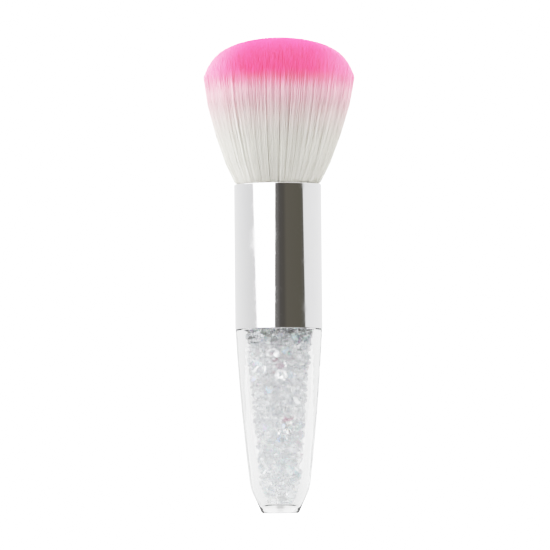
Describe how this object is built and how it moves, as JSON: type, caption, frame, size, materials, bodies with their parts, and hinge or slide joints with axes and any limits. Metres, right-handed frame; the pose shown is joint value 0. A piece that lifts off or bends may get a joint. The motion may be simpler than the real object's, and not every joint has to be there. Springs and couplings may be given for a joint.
{
  "type": "nail dust brush",
  "caption": "Round soft nail dust brush with a flared pink-tipped tuft, a bright cylindrical ferrule and a clear tapered grip filled with cut stones.",
  "frame": {"origin": "centre of the flat end of the grip, where the brush stands", "axes": "+Z along the brush's axis, from the end of the grip to the tips of the bristles; the brush is round, so +X and +Y are free"},
  "size_m": [0.039, 0.039, 0.12],
  "materials": {
    "clear_acrylic": "clear moulded acrylic, polished",
    "clear_stone": "clear cut acrylic, polished facets",
    "iridescent_stone": "clear cut acrylic with a faint teal and lilac coating",
    "rose_stone": "rose-tinted cut acrylic, polished facets",
    "bright_metal": "bright mirror plating",
    "bristle": "soft white nylon filament, dyed pink for the top 10 mm",
    "thread": "waxed white thread",
    "white_plastic": "natural white moulded plastic",
    "set_glue": "set epoxy, pale amber"
  },
  "bodies": {
    "root": {"grip_shell": "clear_acrylic", "grip_glue_rings": "set_glue", "grip_cap": "white_plastic", "ferrule": "bright_metal", "root_cup": "white_plastic", "cup_glue_ring": "set_glue", "root_resin": "set_glue", "root_thread": "thread", "bristle_tuft": "bristle", "stones_clear": "clear_stone", "stones_iridescent": "iridescent_stone", "stones_rose": "rose_stone"}
  },
  "joints": []
}
